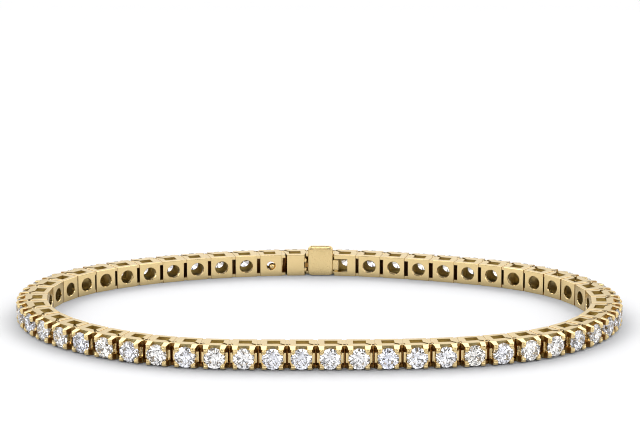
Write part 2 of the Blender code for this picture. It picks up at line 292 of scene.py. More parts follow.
# %% Sizes of a setting, in millimetres
PLATE_FACE_DEPTH = 2.1
PLATE_WIDTH = 2.7
PLATE_THICKNESS = 0.45
PLATE_HOLE = 1.58
SHOULDER_WIDTH = 3.08
SHOULDER_LEVEL = 0.05
RIM_WIDTH = 2.62
RIM_LEVEL = 0.75
TOP_RIM_LEVEL = 0.52
WALL = 0.4
CAVITY_HALF = MIDDLE - WALL
CAVITY_END = 0.35
SEAT_INNER_RADIUS = 0.62
SEAT_OUTER_RADIUS = 1.28
SEAT_OUTER_LEVEL = 0.98
SEAT_LAP = 0.05
WINDOW_LEFT = -0.83
WINDOW_RIGHT = 0.64
WINDOW_INNER = -1.5
WINDOW_OUTER = -0.3
FAR = 5.0
print("from plate to rim", PLATE_FACE_DEPTH + RIM_LEVEL, "mm")


def link_outline(face_depth, plate_width):
    """The plan of the box: one side from the plate to the rim, then the other side back."""
    half = [
        (plate_width / 2, -face_depth),
        (SHOULDER_WIDTH / 2, SHOULDER_LEVEL),
        (RIM_WIDTH / 2, RIM_LEVEL),
    ]
    return half + [(-x, y) for x, y in half[::-1]]


def box(face_depth, plate_width):
    """The filed and pierced box, without its claws and hinge."""
    body = prism(link_outline(face_depth, plate_width), -MIDDLE, MIDDLE, EDGE)
    floor = PLATE_THICKNESS - face_depth
    half_cavity = min(CAVITY_HALF, plate_width / 2 - PLATE_THICKNESS / 2)
    cavity = block((-half_cavity, floor, -CAVITY_HALF), (half_cavity, CAVITY_END, CAVITY_HALF))
    seat = outward(SEAT_INNER_RADIUS, SEAT_OUTER_RADIUS, CAVITY_END - SEAT_LAP, SEAT_OUTER_LEVEL)
    window_inner = max(WINDOW_INNER, floor + SEAT_LAP)
    pierced = [
        block((WINDOW_LEFT, window_inner, side * MIDDLE - WALL),
              (WINDOW_RIGHT, WINDOW_OUTER, side * MIDDLE + WALL))
        for side in (-1, 1)]
    return cut(body, cavity, seat, *pierced)


# %% [markdown]
# ## Claws
#
# Four claws stand at the corners. Each is a corner post whose inner face is cut round to clear the
# stone, and a grain of metal pushed over the stone's edge. They can't be a straight peg: from the
# front they show as small bright pads in the corners, and from above as wide shoulders.

# %% Claws
CLAW_INNER = 0.66
CLAW_ROOT = 0.4
CLAW_FLARE = 0.1
CLAW_LEAN = 0.05
CLAW_LOW = 0.62
CLAW_TIP_LEVEL = 1.5
CLAW_TIP_INSET = 0.2
CLAW_TIP_DROP = 0.15
CLAW_TIP_CHAMFER = 0.12
CLAW_CLEARANCE_RADIUS = 1.14
CLAW_CLEARANCE_LAP = 0.1
GRAIN_CENTRE = (0.95, 1.35, 1.06)
GRAIN_RADII = (0.27, 0.26, 0.25)
print("the claws end", CLAW_TIP_LEVEL, "mm out from the link's middle")


def claw():
    """The claw of the corner that is clockwise and up."""
    wide = RIM_WIDTH / 2
    post = prism([
        (CLAW_INNER, CLAW_ROOT),
        (wide + CLAW_FLARE, CLAW_ROOT),
        (wide, RIM_LEVEL),
        (wide - CLAW_LEAN, CLAW_TIP_LEVEL - CLAW_TIP_DROP),
        (wide - CLAW_TIP_INSET, CLAW_TIP_LEVEL),
        (CLAW_INNER + CLAW_TIP_CHAMFER, CLAW_TIP_LEVEL),
        (CLAW_INNER, CLAW_TIP_LEVEL - CLAW_TIP_CHAMFER),
    ], CLAW_LOW, MIDDLE, EDGE)
    clearance = outward(
        CLAW_CLEARANCE_RADIUS, CLAW_CLEARANCE_RADIUS, RIM_LEVEL - CLAW_CLEARANCE_LAP, FAR)
    return soldered(cut(post, clearance), bead(GRAIN_CENTRE, GRAIN_RADII))


def clawed(body):
    """The box with its four claws, and the gallery rail cut back between them."""
    for side in (-1, 1):
        body = cut(body, block(
            (-CLAW_INNER, TOP_RIM_LEVEL, min(side * CAVITY_HALF, side * FAR)),
            (CLAW_INNER, FAR, max(side * CAVITY_HALF, side * FAR))))
    corner = claw()
    for x_side in (-1, 1):
        for z_side in (-1, 1):
            body = soldered(body, mirrored(corner, x_side, z_side))
    return body


# %% [markdown]
# ## Hinges between links
#
# Each link carries a barrel at its clockwise end and a fork of two ears at the other, with a rivet
# through both. The rivet ends deep in a round hole of each ear, which shows from above as a small dark
# dot between two links. A tongue beside each ear closes the gap between two boxes, above and below,
# and a fine seam runs from the window's corner to the ear, where the neighbour's metal nests. A short
# bar on each side wall fills the space between two links' claws at mid-height.

# %% Hinges
HALF_PITCH = LINK_PITCH / 2
BARREL_RADIUS = 0.24
BARREL_HALF = 0.6
BARREL_EDGE = 0.04
HINGE_GAP = 0.08
EAR_LOW = 0.95
EAR_HIGH = 1.33
EAR_RADIUS = 0.3
EAR_EDGE = 0.03
TONGUE_TOP = 1.3
TONGUE_OUTER = 0.0
TONGUE_INNER = -2.0
TONGUE_SHORT = -1.35
TONGUE_OVERLAP = 0.2
RIVET_RADIUS = 0.1
RIVET_HALF = 1.0
RIVET_EDGE = 0.02
RIVET_BORE = 0.13
DOT_RADIUS = 0.17
DOT_FLOOR = 0.98
FINE_SIDES = 12
NECK_HALF = 0.15
NECK_LENGTH = 3 * BARREL_RADIUS
BAR_START = 0.35
BAR_END = 0.72
BAR_HALF = 0.6
BAR_GAP = 0.13
SEAM_START = (-0.8, -0.36)
SEAM_END = (-1.44, 0.2)
SEAM_WIDTH = 0.34
SEAM_DEPTH = 0.36
print("a hinge lies", HALF_PITCH, "mm to each side of the link's middle")


def seam_tool(side):
    """The thin blade that scribes the seam into the top or bottom wall."""
    start, end = Vector(SEAM_START), Vector(SEAM_END)
    across = (end - start).orthogonal().normalized() * SEAM_WIDTH / 2
    outline = [start - across, end - across, end + across, start + across]
    low, high = sorted((side * (MIDDLE - SEAM_DEPTH), side * FAR))
    return prism([point.to_tuple() for point in outline], low, high)


def hinged(body, tongue_inner=TONGUE_INNER):
    """The link with its barrel, fork and rivet, its tongues, its side bars and the scribed seams."""
    ahead, behind = (HALF_PITCH, 0), (-HALF_PITCH, 0)
    gap = BARREL_RADIUS + HINGE_GAP
    body = cut(body, upright(behind, gap, -BARREL_HALF - HINGE_GAP / 2, BARREL_HALF + HINGE_GAP / 2))
    for side in (-1, 1):
        low, high = sorted((side * (EAR_LOW - HINGE_GAP), side * FAR))
        body = cut(body, upright(ahead, EAR_RADIUS + HINGE_GAP, low, high), seam_tool(side))
        low, high = sorted((side * EAR_LOW, side * TONGUE_TOP))
        tongue = block((-HALF_PITCH - TONGUE_OVERLAP, tongue_inner, low),
                       (-RIM_WIDTH / 2, TONGUE_OUTER, high))
        low, high = sorted((side * EAR_LOW, side * EAR_HIGH))
        body = soldered(body, tongue, upright(behind, EAR_RADIUS, low, high, edge=EAR_EDGE))
        low, high = sorted((side * DOT_FLOOR, side * FAR))
        body = cut(body, upright(behind, DOT_RADIUS, low, high, FINE_SIDES))
    neck = block((HALF_PITCH - NECK_LENGTH, -NECK_HALF, -BARREL_HALF),
                 (HALF_PITCH, NECK_HALF, BARREL_HALF))
    barrel = upright(ahead, BARREL_RADIUS, -BARREL_HALF, BARREL_HALF, edge=BARREL_EDGE)
    bore = upright(ahead, RIVET_BORE, -FAR, FAR, FINE_SIDES)
    rivet = upright(behind, RIVET_RADIUS, -RIVET_HALF, RIVET_HALF, FINE_SIDES, edge=RIVET_EDGE)
    right_bar = block((RIM_WIDTH / 2 - BAR_GAP, BAR_START, -BAR_HALF),
                      (HALF_PITCH - BAR_GAP, BAR_END, BAR_HALF))
    bars = [right_bar, mirrored(right_bar, -1, 1)]
    return soldered(cut(soldered(body, neck, barrel), bore), rivet, *bars)


# %% [markdown]
# ## The finished settings
#
# Five links come out of these steps: the plain one, the last one of a string, and the clasp's hinge,
# box and receiver links. After the Booleans the mesh is welded, flat areas lose their spare points, and
# only sharp corners stay sharp. Each face between two links or inside a box is also marked for painted
# shade: there the gold is matt and darker, brown between the links and paler inside the boxes, a colour
# that stands in for the shade that falls there.

# %% Finishing a shape
WELD = 0.0001
FLAT = math.radians(0.05)
SHARP = math.radians(35)
TAPER = 0.14
TAPER_START = 0.5
SKIN = 0.05
STEEP = 0.8
# How far in front of the plate's face the paler painted shade inside the box begins.
SHADE_INSET = 0.2
INSIDE_HALF = PLATE_WIDTH / 2 - PLATE_THICKNESS / 2 + SKIN
INSIDE_START = SHADE_INSET - PLATE_FACE_DEPTH
KNUCKLE_START = 1.33
# Prints where the paler painted shade inside the box begins.
print("the wheel leaves the box's inside alone from", round(INSIDE_START, 2), "mm outwards")


def tapered(mesh):
    """The link a little lower towards its claws, so that the stone stands as high as they do."""
    for point in mesh.vertices:
        share = min(1.0, max(0.0, (point.co.y - TAPER_START) / (CLAW_TIP_LEVEL - TAPER_START)))
        point.co.z *= 1 - TAPER * share
    return mesh


def within(place, normal):
    """True inside the box and on the cut edges of its windows, which get the paler painted shade."""
    inside = (abs(place.x) < INSIDE_HALF and abs(place.z) < CAVITY_HALF + SKIN
              and INSIDE_START < place.y < CAVITY_END + SKIN)
    cut_edge = (abs(normal.z) < 1 - STEEP and CAVITY_HALF - SKIN < abs(place.z) < MIDDLE - SKIN
                and abs(place.x) < SHOULDER_WIDTH / 2 - 2 * SKIN
                and INSIDE_START < place.y < TOP_RIM_LEVEL + SKIN)
    return inside or cut_edge


def between(place, normal):
    """True between two links, which get the brown painted shade: on the side walls, the knuckles and in the
    rivets' holes.
    """
    side_wall = abs(normal.x) > STEEP and abs(place.x) > RIM_WIDTH / 2 - SKIN
    knuckle = (abs(place.x) > KNUCKLE_START and abs(place.y) < EAR_RADIUS + SKIN
               and abs(place.z) < TONGUE_TOP - SKIN and normal.y > STEEP - 1)
    return side_wall or knuckle


def dressed(mesh, shade_between=between, shaded_matt=within):
    """The mesh welded and thinned, smooth apart from its sharp edges, with the faces for painted shade
    marked.
    """
    shape = bmesh.new()
    shape.from_mesh(mesh)
    bmesh.ops.remove_doubles(shape, verts=shape.verts, dist=WELD)
    bmesh.ops.dissolve_degenerate(shape, edges=shape.edges, dist=WELD)
    bmesh.ops.dissolve_limit(shape, angle_limit=FLAT, use_dissolve_boundaries=False,
                             verts=shape.verts, edges=shape.edges)
    bmesh.ops.triangulate(shape, faces=shape.faces)
    loose = sum(not edge.is_manifold for edge in shape.edges)
    shape.to_mesh(mesh)
    shape.free()
    mesh.shade_smooth()
    mesh.set_sharp_from_angle(angle=SHARP)
    # Painted shade: faces inside the box get a paler one, faces between links a brown one, both on matt gold.
    inside_shade = [float(shaded_matt(face.center, face.normal)) for face in mesh.polygons]
    unpolished = [bool(mark) or shade_between(face.center, face.normal)
                  for mark, face in zip(inside_shade, mesh.polygons)]
    mesh.attributes.new("unpolished", "BOOLEAN", "FACE").data.foreach_set("value", unpolished)
    mesh.attributes.new("inside_shade", "FLOAT", "FACE").data.foreach_set("value", inside_shade)
    item = on_bench(mesh)
    item.modifiers.new("even", "WEIGHTED_NORMAL").keep_sharp = True
    mesh = baked(item)
    print(mesh.name, len(mesh.polygons), "triangles,", loose, "open edges")
    return mesh


# %% The plain setting
HOLE_OVERRUN = 0.3
HOLE_BREAK = 0.1
HOLE_BREAK_HALF_DEPTH = 0.06


def drilled(body, face_depth, radius):
    """The box with a round hole in its plate, its rim slightly broken."""
    hole = outward(radius, radius, -FAR, PLATE_THICKNESS / 2 - face_depth + HOLE_OVERRUN)
    rim = outward(radius + HOLE_BREAK, radius,
                  -face_depth - HOLE_BREAK_HALF_DEPTH, HOLE_BREAK_HALF_DEPTH - face_depth)
    return cut(body, hole, rim)


plain_box = clawed(box(PLATE_FACE_DEPTH, PLATE_WIDTH))
plain_setting = dressed(tapered(hinged(drilled(plain_box, PLATE_FACE_DEPTH, PLATE_HOLE / 2))))

# %% [markdown]
# ## The string's last setting
#
# The link beside the clasp's hinge link is like the others, but its hole is smaller and a bright round
# grain of gold fills part of it. What it is for can't be seen. It is a bead, soldered into the box.

# %% The last setting
END_HOLE = 1.06
END_BEAD = (0.16, -1.72, -0.14)
END_BEAD_RADIUS = 0.4
END_BEAD_STEPS = 20
end_bead = bead(END_BEAD, (END_BEAD_RADIUS,) * 3, END_BEAD_STEPS)
end_box = soldered(drilled(plain_box, PLATE_FACE_DEPTH, END_HOLE / 2), end_bead)
end_setting = dressed(tapered(hinged(end_box)))

# %% [markdown]
# ## The stone
#
# A round brilliant has 57 facets: a table, 8 stars, 8 kites and 16 upper halves on the crown, and 16
# lower halves and 8 mains on the pavilion. All of them follow from a few proportions, so the points
# are worked out: where two kite planes meet, or two mains, gives the corners in between. Facets
# are flat, so nothing here is shaded smooth.

# %% Brilliant cut
STONE_RADIUS = 1.225
GIRDLE_LEVEL = 1.2
GIRDLE_HALF = 0.03
TABLE_SHARE = 0.57
CROWN_ANGLE = math.radians(34.5)
PAVILION_ANGLE = math.radians(40.8)
STAR_SHARE = 0.5
LOWER_HALF_SHARE = 0.77
EIGHTH = math.pi / 4


def ring(shape, count, radius, height, turn=0.0):
    """Points round the stone's axis, which is Z until the stone is laid over."""
    angles = [2 * math.pi * step / count + turn for step in range(count)]
    return [shape.verts.new((radius * math.cos(angle), radius * math.sin(angle), height))
            for angle in angles]


def brilliant():
    """A round brilliant whose table faces outwards, along Y."""
    table = TABLE_SHARE * STONE_RADIUS
    crown = (STONE_RADIUS - table) * math.tan(CROWN_ANGLE)
    depth = STONE_RADIUS * math.tan(PAVILION_ANGLE)
    table_edge = table * math.cos(EIGHTH / 2)
    star = table_edge + STAR_SHARE * (STONE_RADIUS - table_edge)
    star_height = crown * (STONE_RADIUS - star * math.cos(EIGHTH / 2)) / (STONE_RADIUS - table)
    lower = STONE_RADIUS * (1 - LOWER_HALF_SHARE)
    lower_height = -depth * (1 - lower * math.cos(EIGHTH / 2) / STONE_RADIUS)
    place = Matrix.Translation((0, GIRDLE_LEVEL, 0)) @ Matrix.Rotation(-math.pi / 2, 4, "X")

    def fill(shape):
        tables = ring(shape, 8, table, GIRDLE_HALF + crown)
        stars = ring(shape, 8, star, GIRDLE_HALF + star_height, EIGHTH / 2)
        upper_girdle = ring(shape, 16, STONE_RADIUS, GIRDLE_HALF)
        lower_girdle = ring(shape, 16, STONE_RADIUS, -GIRDLE_HALF)
        lowers = ring(shape, 8, lower, lower_height - GIRDLE_HALF, EIGHTH / 2)
        culet = shape.verts.new((0, 0, -depth - GIRDLE_HALF))
        shape.faces.new(tables)
        for k in range(8):
            tip, side, after = 2 * k, 2 * k + 1, (2 * k + 2) % 16
            shape.faces.new((tables[k], stars[k], tables[(k + 1) % 8]))
            shape.faces.new((tables[k], stars[k - 1], upper_girdle[tip], stars[k]))
            shape.faces.new((culet, lowers[k - 1], lower_girdle[tip], lowers[k]))
            for first, second in ((tip, side), (side, after)):
                shape.faces.new((stars[k], upper_girdle[first], upper_girdle[second]))
                shape.faces.new((lowers[k], lower_girdle[first], lower_girdle[second]))
                shape.faces.new((upper_girdle[first], lower_girdle[first],
                                 lower_girdle[second], upper_girdle[second]))
        bmesh.ops.transform(shape, matrix=place, verts=shape.verts)
    return mesh_from(fill)


stone = brilliant()
print("brilliant with", len(stone.polygons), "faces, the girdle's 16 among them")

# %% [markdown]
# ## Gold
#
# The metal is a 14 carat yellow gold alloy, cast, tumbled and polished. Gold has no colour of its own
# but the one it gives to what it mirrors, so the shader is a plain metal with a warm reflectance, and
# most of the contrast comes from the lights and from gold mirroring gold in the gaps. Polishing leaves fine
# hairlines and a little waviness, which break the mirror up, and the cover's are stronger, as satin.
# Between the links and inside the boxes the gold is rougher, and its colour is darkened as painted
# shade: brown between the links, and paler inside the boxes.

# %% Gold materials
GOLD_LIGHT = "#E9CF98"
GOLD_DEEP = "#E1C78F"
TONE_SIZE = 1.5
HAIRLINE_SIZE = 0.05
WAVE_SIZE = 0.6
NOISE_LOW = 0.3
NOISE_HIGH = 0.7
ALONG_HAIRLINES = (1.0, 1.0, 0.25)
BUMP_DEPTH = 0.00002
METRE = 1000.0


def gold(name, smooth, worn, hairline_strength):
    """Polished or satin 14 carat gold, its hairlines drawn coarser than real ones so that they show."""
    material = bpy.data.materials.new(name)
    material.use_nodes = True
    tree = material.node_tree
    shader = tree.nodes["Principled BSDF"]
    place = add_node(tree, "ShaderNodeTexCoord").outputs["Object"]
    tone = add_node(tree, "ShaderNodeTexNoise", {"Vector": place, "Scale": METRE / TONE_SIZE, "Detail": 2.0})
    colour = add_node(tree, "ShaderNodeMix", {
        "Factor": tone.outputs["Fac"], "A": linear(GOLD_LIGHT), "B": linear(GOLD_DEEP)}, data_type="RGBA")
    stretched = add_node(tree, "ShaderNodeMapping", {"Vector": place, "Scale": ALONG_HAIRLINES})
    hairline = add_node(tree, "ShaderNodeTexNoise", {
        "Vector": stretched.outputs["Vector"], "Scale": METRE / HAIRLINE_SIZE, "Detail": 3.0})
    rough = add_node(tree, "ShaderNodeMapRange", {
        "Value": hairline.outputs["Fac"], "From Min": NOISE_LOW, "From Max": NOISE_HIGH,
        "To Min": smooth, "To Max": worn})
    wave = add_node(tree, "ShaderNodeTexNoise", {"Vector": place, "Scale": METRE / WAVE_SIZE, "Detail": 1.0})
    height = add_node(tree, "ShaderNodeMath", {
        0: wave.outputs["Fac"], 1: hairline.outputs["Fac"]}, operation="ADD")
    bump = add_node(tree, "ShaderNodeBump", {
        "Height": height.outputs[0], "Strength": hairline_strength, "Distance": BUMP_DEPTH})
    for output, socket in ((colour.outputs["Result"], "Base Color"), (rough.outputs[0], "Roughness"),
                           (bump.outputs["Normal"], "Normal")):
        tree.links.new(output, shader.inputs[socket])
    shader.inputs["Metallic"].default_value = 1.0
    return material


# Painted shade: a brown where links meet and a paler gold inside the boxes, mixed by the inside attribute.
BETWEEN_SHADE_TONE = "#A67C44"
INSIDE_SHADE_TONE = "#C8B682"
GRAIN_SIZE = 0.12
CAST_SMOOTHEST = 0.3
CAST_ROUGHEST = 0.45


def matt_gold_with_painted_shade():
    """Matt gold darkened as painted shade: brown between the links, paler inside the boxes."""
    material = bpy.data.materials.new("gold_14k_matt_painted_shade")
    material.use_nodes = True
    tree = material.node_tree
    shader = tree.nodes["Principled BSDF"]
    inside_shade = add_node(tree, "ShaderNodeAttribute", attribute_name="inside_shade", attribute_type="GEOMETRY")
    place = add_node(tree, "ShaderNodeTexCoord").outputs["Object"]
    grain = add_node(tree, "ShaderNodeTexNoise", {
        "Vector": place, "Scale": METRE / GRAIN_SIZE, "Detail": 2.0})
    colour = add_node(tree, "ShaderNodeMix", {
        "Factor": inside_shade.outputs["Fac"], "A": linear(BETWEEN_SHADE_TONE), "B": linear(INSIDE_SHADE_TONE)},
        data_type="RGBA")
    rough = add_node(tree, "ShaderNodeMapRange", {
        "Value": grain.outputs["Fac"], "From Min": NOISE_LOW, "From Max": NOISE_HIGH,
        "To Min": CAST_SMOOTHEST, "To Max": CAST_ROUGHEST})
    tree.links.new(colour.outputs["Result"], shader.inputs["Base Color"])
    tree.links.new(rough.outputs[0], shader.inputs["Roughness"])
    shader.inputs["Metallic"].default_value = 1.0
    return material


matt_shaded_gold = matt_gold_with_painted_shade()
polished_gold = gold("gold_14k_polished", smooth=0.06, worn=0.2, hairline_strength=0.12)
satin_gold = gold("gold_14k_satin_polished", smooth=0.16, worn=0.32, hairline_strength=0.25)
print("finishes", [finish.name for finish in (matt_shaded_gold, polished_gold, satin_gold)])

# %% [markdown]
# ## Diamond
#
# Diamond bends light more than any other clear gem, an index of 2.42, so most of what enters the
# crown is mirrored by the pavilion and comes back out of the front. Clear glass with that index on a
# true brilliant does this by itself. Each stone gets a slightly different water: nearly colourless,
# from faint blue to faint warm, read from an attribute that the chain's tree gives to each copy.

# %% Diamond material
DIAMOND_COOL = "#EBEFFF"
DIAMOND_WARM = "#FFFDF8"
DIAMOND_INDEX = 2.42


def clear_diamond():
    """Colourless diamond, cut and polished."""
    material = bpy.data.materials.new("diamond_brilliant_cut")
    material.use_nodes = True
    tree = material.node_tree
    shader = tree.nodes["Principled BSDF"]
    water = add_node(tree, "ShaderNodeAttribute", attribute_name="water", attribute_type="GEOMETRY")
    colour = add_node(tree, "ShaderNodeMix", {
        "Factor": water.outputs["Fac"], "A": linear(DIAMOND_COOL), "B": linear(DIAMOND_WARM)},
        data_type="RGBA")
    tree.links.new(colour.outputs["Result"], shader.inputs["Base Color"])
    shader.inputs["Roughness"].default_value = 0.0
    shader.inputs["IOR"].default_value = DIAMOND_INDEX
    shader.inputs["Transmission Weight"].default_value = 1.0
    return material


diamond = clear_diamond()
print(diamond.name, "with an index of", DIAMOND_INDEX)

# %% [markdown]
# ## The chain as Geometry Nodes
#
# The tree takes the polygon of hinges and puts one shape on each of its sides. The side's two ends
# give the middle and the direction, so a link always spans from hinge to hinge, whatever the oval's
# shape. Stones are also turned at random about their own axis, as a setter leaves them. The tree ends
# in Realize Instances and Set Material, so that real geometry comes out. A second Set Material gives
# the faces that are marked for painted shade a matt gold darkened as painted shade.

# %% The tree
def chain_tree():
    """A tree that sets one copy of a shape on each side of the hinge polygon."""
    tree = bpy.data.node_groups.new("shapes_on_chain", "GeometryNodeTree")
    for name, kind in (("Hinges", "NodeSocketGeometry"), ("Shape", "NodeSocketObject"),
                       ("Turn", "NodeSocketFloat"), ("Seed", "NodeSocketInt"),
                       ("Finish", "NodeSocketMaterial"), ("Painted shade finish", "NodeSocketMaterial")):
        tree.interface.new_socket(name=name, in_out="INPUT", socket_type=kind)
    tree.interface.new_socket(name="Pieces", in_out="OUTPUT", socket_type="NodeSocketGeometry")
    given = add_node(tree, "NodeGroupInput").outputs
    ends = add_node(tree, "GeometryNodeInputMeshEdgeVertices").outputs
    along = add_node(tree, "ShaderNodeVectorMath", {
        0: ends["Position 1"], 1: ends["Position 2"]}, operation="SUBTRACT")
    marked = add_node(tree, "GeometryNodeStoreNamedAttribute", {
        "Geometry": given["Hinges"], "Name": "along", "Value": along.outputs["Vector"]},
        data_type="FLOAT_VECTOR", domain="EDGE")
    points = add_node(tree, "GeometryNodeMeshToPoints", {"Mesh": marked.outputs["Geometry"]}, mode="EDGES")
    water = add_node(tree, "FunctionNodeRandomValue", {8: given["Seed"]}, data_type="FLOAT")
    watered = add_node(tree, "GeometryNodeStoreNamedAttribute", {
        "Geometry": points.outputs["Points"], "Name": "water", "Value": water.outputs[1]},
        data_type="FLOAT", domain="POINT")
    heading = add_node(tree, "GeometryNodeInputNamedAttribute", {"Name": "along"}, data_type="FLOAT_VECTOR")
    facing = add_node(tree, "FunctionNodeAxesToRotation", {
        "Primary Axis": heading.outputs["Attribute"], "Secondary Axis": (0, 0, 1)},
        primary_axis="X", secondary_axis="Z")
    turn = add_node(tree, "FunctionNodeRandomValue", {
        2: 0.0, 3: given["Turn"], 8: given["Seed"]}, data_type="FLOAT")
    about = add_node(tree, "FunctionNodeAxisAngleToRotation", {"Axis": (0, 1, 0), "Angle": turn.outputs[1]})
    turned = add_node(tree, "FunctionNodeRotateRotation", {
        "Rotation": facing.outputs["Rotation"], "Rotate By": about.outputs["Rotation"]},
        rotation_space="LOCAL")
    shape = add_node(tree, "GeometryNodeObjectInfo", {"Object": given["Shape"]})
    placed = add_node(tree, "GeometryNodeInstanceOnPoints", {
        "Points": watered.outputs["Geometry"], "Instance": shape.outputs["Geometry"],
        "Rotation": turned.outputs["Rotation"]})
    real = add_node(tree, "GeometryNodeRealizeInstances", {"Geometry": placed.outputs["Instances"]})
    finished = add_node(tree, "GeometryNodeSetMaterial", {
        "Geometry": real.outputs["Geometry"], "Material": given["Finish"]})
    # Faces marked for painted shade get the matt gold whose darker colour is painted shade.
    rough = add_node(tree, "GeometryNodeInputNamedAttribute", {"Name": "unpolished"}, data_type="BOOLEAN")
    shaded_matt = add_node(tree, "GeometryNodeSetMaterial", {
        "Geometry": finished.outputs["Geometry"], "Selection": rough.outputs["Attribute"],
        "Material": given["Painted shade finish"]})
    add_node(tree, "NodeGroupOutput", {"Pieces": shaded_matt.outputs["Geometry"]})
    return tree


CHAIN_TREE = chain_tree()
print("a tree of", len(CHAIN_TREE.nodes), "nodes")


# %% Using the tree
def on_links(indices, shape, material, turn=0.0, seed=0):
    """One mesh, in millimetres, with the shape on each of these links."""
    guide = bpy.data.meshes.new("hinges")
    corners = [(*HINGES[k], MIDDLE) for k in range(LINK_COUNT)]
    guide.from_pydata(corners, [(k, (k + 1) % LINK_COUNT) for k in indices], [])
    guided, sample = on_bench(guide), on_bench(shape)
    step = guided.modifiers.new("chain", "NODES")
    step.node_group = CHAIN_TREE
    values = {"Shape": sample, "Turn": turn, "Seed": seed, "Finish": material,
              "Painted shade finish": matt_shaded_gold}
    for socket in CHAIN_TREE.interface.items_tree:
        if socket.in_out == "INPUT" and socket.name in values:
            step[socket.identifier] = values[socket.name]
    mesh = baked(guided)
    bpy.data.objects.remove(sample, do_unlink=True)
    return mesh


def finished(name, mesh, body, slot, *nodes):
    """A finished piece in metres, riding on its body and standing for its nodes."""
    mesh.transform(Matrix.Scale(1 / METRE, 4))
    mesh.name = name
    piece = bpy.data.objects.new(name, mesh)
    bpy.context.scene.collection.objects.link(piece)
    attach(piece, body)
    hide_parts(*nodes)
    print(name, len(mesh.polygons), "faces")
    return piece


# %% [markdown]
# ## The two strings
#
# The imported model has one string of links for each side, so each string is one gold piece and one
# piece of stones. The left string's last setting is a piece of its own. How a stone happens to be
# turned in its setting decides which of its facets flash.

# %% Strings
LEFT = range(HINGE_LINK + 1, FRONT_LINK + 1)
RIGHT = range(FRONT_LINK + 1, RECEIVER_LINK)
for side, indices, plain, node in (("left", LEFT, LEFT[1:], "link_string_left"),
                                   ("right", RIGHT, RIGHT, "link_string_right")):
    finished(f"settings_{side}", on_links(plain, plain_setting, polished_gold),
             "chain", "yellow_gold", node)
    finished(f"stones_{side}", on_links(indices, stone, diamond, EIGHTH, indices[0]),
             "chain", "diamond", node)

finished("last_setting_left", on_links([LEFT[0]], end_setting, polished_gold),
         "chain", "yellow_gold", "link_string_left")

# %% [markdown]
# ## The clasp's links
#
# The clasp takes three links. The hinge link has a narrower plate without a hole, and two lugs that
# hold the cover. The box link is shallow, because the cover lies over it. The receiver has a slot,
# open at one side, that takes the cover's nose. The box link and the receiver have short tongues, to
# clear the cover.

# %% Sizes of the clasp, in millimetres
CLASP_PLATE_WIDTH = 2.2
BOX_LINK_FACE_DEPTH = 1.45
COVER_WIDTH = 3.14
COVER_HEIGHT = 3.8
COVER_THICKNESS = 0.7
COVER_FACE_DEPTH = 2.35
COVER_FLOOR_GAP = 0.05
COVER_AXIS_DEPTH = 1.85
LUG_SPACING = 1.14
LUG_HEIGHT = 0.36
LUG_RADIUS = 0.22
LUG_NECK = 0.24
LUG_EDGE = 0.04
COVER_KNUCKLE_RADIUS = 0.18
CLASP_GAP = 0.1
PIN_RADIUS = 0.09
PIN_GAP = 0.04
PIN_OVERHANG = 0.08
NOSE_LENGTH = 0.7
NOSE_HEIGHT = 1.27
NOSE_THICKNESS = 0.3
NOSE_ROOT = 0.3
NOSE_FACE_DEPTH = 2.0
SLOT_END = 0.32
SLOT_HEIGHT = 1.7
SLOT_LAP = 0.01
COVER_AXIS = Vector((-COVER_WIDTH / 2 - CLASP_GAP - LUG_RADIUS, -COVER_AXIS_DEPTH, 0))
print("the cover turns", round(-COVER_AXIS.x, 2), "mm to the side of the box link's middle")


# %% Hinge link
def hinge_link():
    """The solid-plate link, with the lugs of the cover's hinge on its clockwise side."""
    link = hinged(clawed(box(PLATE_FACE_DEPTH, CLASP_PLATE_WIDTH)))
    axis = link_frame(HINGE_LINK).inverted() @ link_frame(BOX_LINK) @ COVER_AXIS
    inside = (LUG_SPACING - LUG_HEIGHT) / 2
    link = cut(link, upright(axis, LUG_RADIUS + CLASP_GAP, -inside, inside))
    for side in (-1, 1):
        bottom = side * LUG_SPACING / 2 - LUG_HEIGHT / 2
        lug = upright(axis, LUG_RADIUS, bottom, bottom + LUG_HEIGHT, edge=LUG_EDGE)
        neck = block((CLASP_PLATE_WIDTH / 2 - PLATE_THICKNESS / 2, axis.y - LUG_NECK / 2, bottom),
                     (axis.x, axis.y + LUG_NECK / 2, bottom + LUG_HEIGHT))
        link = soldered(link, neck, lug)
    return dressed(tapered(cut(link, upright(axis, PIN_RADIUS + PIN_GAP, -FAR, FAR, FINE_SIDES))))


def receiver_link():
    """The link with the slot for the nose."""
    slot = block((-LINK_PITCH, -FAR, -SLOT_HEIGHT / 2),
                 (SLOT_END, PLATE_THICKNESS - PLATE_FACE_DEPTH + SLOT_LAP, SLOT_HEIGHT / 2))
    return dressed(tapered(hinged(cut(clawed(box(PLATE_FACE_DEPTH, PLATE_WIDTH)), slot), TONGUE_SHORT)))


box_link = dressed(tapered(hinged(drilled(
    clawed(box(BOX_LINK_FACE_DEPTH, PLATE_WIDTH)), BOX_LINK_FACE_DEPTH, PLATE_HOLE / 2), TONGUE_SHORT)))

# %% Placing the clasp's links
CLASP_SEED = 7
for name, index, shape in (("hinge_link", HINGE_LINK, hinge_link()), ("box_link", BOX_LINK, box_link),
                           ("receiver_link", RECEIVER_LINK, receiver_link())):
    finished(name, on_links([index], shape, polished_gold), "chain", "yellow_gold", f"clasp_{name}")
    finished(f"{name}_stone", on_links([index], stone, diamond, EIGHTH, index + CLASP_SEED),
             "chain", "diamond", f"clasp_{name}")

# %% [markdown]
# ## The cover
#
# The cover is a small pillow of metal: a plate with round corners whose faces swell a little. A box
# with many small faces is rounded by one rule: each point is pulled to the nearest point of a smaller
# box inside, and set off from it by the rounding radius. A second rule swells the face.

# %% Cover
COVER_RADIUS = 0.3
COVER_CORNER = 0.52
COVER_CROWN = 0.07
COVER_STEPS = 14
KNUCKLE_EDGE = 0.03
PIN_EDGE = 0.03


